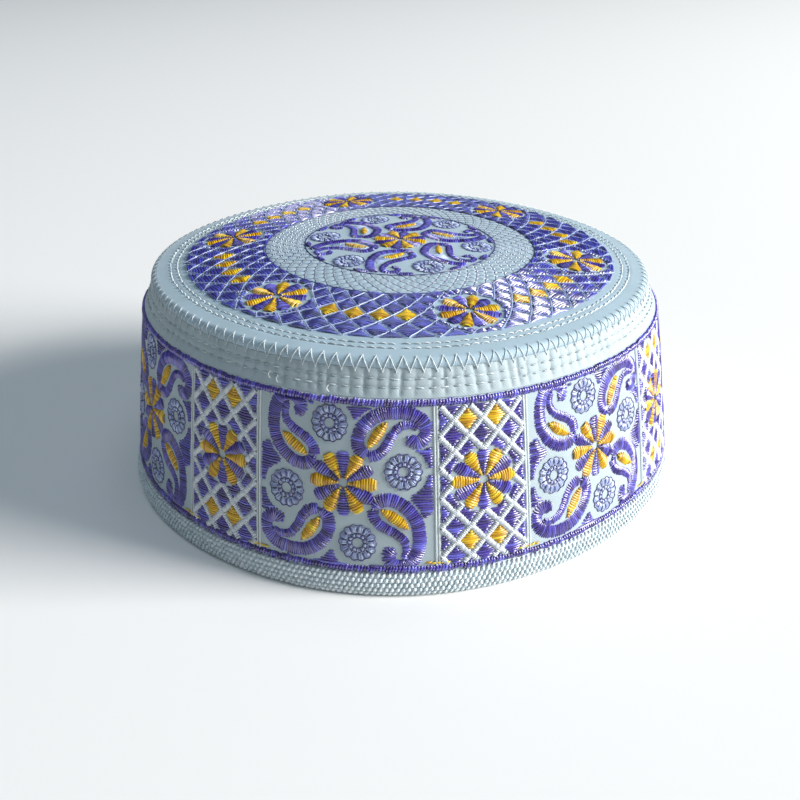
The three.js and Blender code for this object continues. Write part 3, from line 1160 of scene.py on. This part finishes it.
def running(chart, level, pitch, length, reach, **options):
    """A row of stitches at one level, with gaps between them."""
    x = np.arange(0, reach - pitch / 2, pitch)
    x = x + CHANCE.normal(0, 0.05, len(x))
    y = np.full(len(x), level)
    drawn = np.stack([np.stack([x, y], -1), np.stack([x + length, y], -1)], 1)
    return stitches(chart, drawn, **options)


WALL_AROUND = 2 * np.pi * WALL_CHART_RADIUS
RIM_PITCH = 2.75
RIM_STITCH = 2.2
STRIP_STITCH = 2.5
rows = []
for row in RIM_ROWS:
    scale = RING_RADIUS / row
    rows.append(running(ring_chart, row, RIM_PITCH * scale, RIM_STITCH * scale, AROUND,
                        lift=0.25, width=0.5, sink=0.2, base=0.7))
# The strip's rows take the darkest tone: painted shade for the dents of the gathers that they sink
# into.
for row in STITCH_ROWS:
    rows.append(running(wall_chart, row, WALL_AROUND / GATHERS, STRIP_STITCH, WALL_AROUND,
                        lift=0.05, width=0.42, sink=0.5, base=0.1))
sew_satin("running_stitches", rows, SEWING, "white_thread")

# %% Grains of the hem


def quilting():
    """A fat slanted stitch for every grain."""
    drawn = []
    for row in range(GRAIN_ROWS):
        middle = 0.3 + ROW_STEP * (row + 0.5)
        x = (np.arange(GRAINS) + 0.5 * (row % 2)) / GRAINS * WALL_AROUND
        low = np.stack([x - 0.36, np.full(GRAINS, middle - 0.52)], -1)
        high = np.stack([x + 0.36, np.full(GRAINS, middle + 0.52)], -1)
        drawn.append(np.stack([low, high], 1))
    return np.concatenate(drawn)


hem_grains = stitches(wall_chart, quilting(), 0.1, 1.2, sink=0.45, spread=0.3)
sew_satin("quilting_stitches", [hem_grains], QUILTING_PAINTED_LIGHT, "white_thread")

# %% The zigzag seam
ZIGZAGS = 138


def edge_chart(drawn):
    """x is a share of the way round, y climbs the crown's edge in millimetres from the seam."""
    climb = [-3.0, 0.0, 1.2, 2.4, 3.6, 6.0]
    radii = [wall_radius(CROWN_SEAT - 2.5), SHOULDER_RADIUS, SHOULDER_RADIUS + 0.05,
             SHOULDER_RADIUS - 0.6, 79.0, 76.6]
    heights = [CROWN_SEAT - 3.0, CROWN_SEAT, CROWN_SEAT + 1.2,
               CROWN_EDGE_TOP - 0.45, CROWN_EDGE_TOP + 0.12, dome_height(76.6)]
    radius = np.interp(drawn[..., 1], climb, radii)
    return soften(drawn[..., 0] * 2 * np.pi, radius, np.interp(drawn[..., 1], climb, heights))


def zigzag():
    """Two slanted threads for every zigzag, and a short one over their meeting point."""
    lines = []
    low, high = -1.2, 3.4
    half = 0.5 / ZIGZAGS
    climb = np.linspace(low, high, 7)
    rest = 1 - (climb - low) / (high - low)
    tip_across = np.linspace(-0.1, 0.1, 3) * half
    tip_climb = np.linspace(2.7, high + 0.5, 3)
    for middle in np.arange(ZIGZAGS) / ZIGZAGS:
        lines.append(np.stack([middle - half * rest, climb], -1))
        lines.append(np.stack([middle + half * (rest + 0.1), climb], -1))
        lines.append(np.stack([middle + tip_across, tip_climb], -1))
    return lines


sew_lines("zigzag_seam", edge_chart, zigzag(), SEWING, "white_thread", 0.28, 0.12, base=0.6)

# %% Loose thread ends
LOOSE_ENDS = [(-26.0, 61.3), (-24.2, 60.6), (-13.9, 60.4)]
curl = smooth_path([(0.0, 0.95), (-0.45, 0.35), (-0.3, -0.35), (0.35, -0.8)], 0.2)
ends = [curl + (np.radians(turn) * WALL_CHART_RADIUS, height) for turn, height in LOOSE_ENDS]
sew_lines("loose_ends", wall_chart, ends, SEWING, "white_thread", 0.3, 0.35, base=0.9)

# %% [markdown]
# ## Stage, light and camera
# A strong window light comes from the right, low enough to rake across the stitches, and
# soft cool light fills in from above. The world gives a little light too, but the camera
# sees a pale wall in its place. The camera stands above and in front, as far off as the
# photo's perspective says, with a slight roll.

# %% The stage
floor = put_in_scene("floor", bpy.data.meshes.new("floor"))
floor.data.from_pydata([(-3, -3, 0), (3, -3, 0), (3, 3, 0), (-3, 3, 0)], [], [(0, 1, 2, 3)])
floor_material, floor_tree, floor_surface = new_material("pale_floor")
grain = add(floor_tree, "ShaderNodeTexNoise", {"Scale": 4.0}).outputs["Fac"]
pale = ramp(floor_tree, grain, [(0, (0.95, 0.935, 0.92)), (1, (0.97, 0.955, 0.94))])
floor_tree.links.new(pale, floor_surface.inputs["Base Color"])
floor_surface.inputs["Roughness"].default_value = 0.9
floor_surface.inputs["Specular IOR Level"].default_value = 0.0
floor.data.materials.append(floor_material)

# %% Light
LAMP_DISTANCE = 4.0


def area_light(name, direction, size, power, colour):
    """A square lamp in a direction from the cap; sizes in metres, power in watts."""
    light = bpy.data.lights.new(name, "AREA")
    light.size = size
    light.energy = power
    light.color = colour
    lamp = put_in_scene(name, light)
    away = Vector(direction).normalized()
    lamp.location = away * LAMP_DISTANCE + Vector((0, 0, 0.04))
    lamp.rotation_euler = away.to_track_quat("Z", "Y").to_euler()


area_light("window", (0.915, -0.16, 0.37), 1.8, 305, (1.0, 0.985, 0.96))
area_light("overhead", (0.0, 0.05, 1.0), 3.5, 47, (0.72, 0.88, 1.0))

# %% The world, as a light and as the camera sees it
world = bpy.data.worlds.new("studio")
world.use_nodes = True
studio = world.node_tree
soft_light = studio.nodes["Background"]
soft_light.inputs["Color"].default_value = (0.72, 0.88, 1.0, 1)
soft_light.inputs["Strength"].default_value = 0.12
pale_wall = add(studio, "ShaderNodeBackground", {"Color": (0.86, 0.89, 0.91, 1)})
seen = add(studio, "ShaderNodeLightPath").outputs["Is Camera Ray"]
both = add(studio, "ShaderNodeMixShader",
           {0: seen, 1: soft_light.outputs["Background"], 2: pale_wall.outputs["Background"]})
studio.links.new(both.outputs["Shader"], studio.nodes["World Output"].inputs["Surface"])
bpy.context.scene.world = world
bpy.context.scene.view_settings.view_transform = "Standard"

# %% The camera
CAMERA_RISE = np.radians(27.098)
CAMERA_ROLL = np.radians(-0.881)
CAMERA_AWAY = 372.0
CAMERA_TARGET = Vector((-0.88, 0, 15.5))
FOCAL_PIXELS = 1036.4
PHOTO_PIXELS = 800
back = Vector((0, -np.cos(CAMERA_RISE), np.sin(CAMERA_RISE)))
level = Vector((1, 0, 0))
upward = back.cross(level)
right = level * np.cos(CAMERA_ROLL) + upward * np.sin(CAMERA_ROLL)
over = upward * np.cos(CAMERA_ROLL) - level * np.sin(CAMERA_ROLL)
lens = bpy.data.cameras.new("camera")
lens.sensor_width = 36
lens.lens = lens.sensor_width * FOCAL_PIXELS / PHOTO_PIXELS
camera = put_in_scene("camera", lens)
turn = Matrix((right, over, back)).transposed().to_4x4()
camera.matrix_world = Matrix.Translation((CAMERA_TARGET + back * CAMERA_AWAY) * MM) @ turn
bpy.context.scene.camera = camera
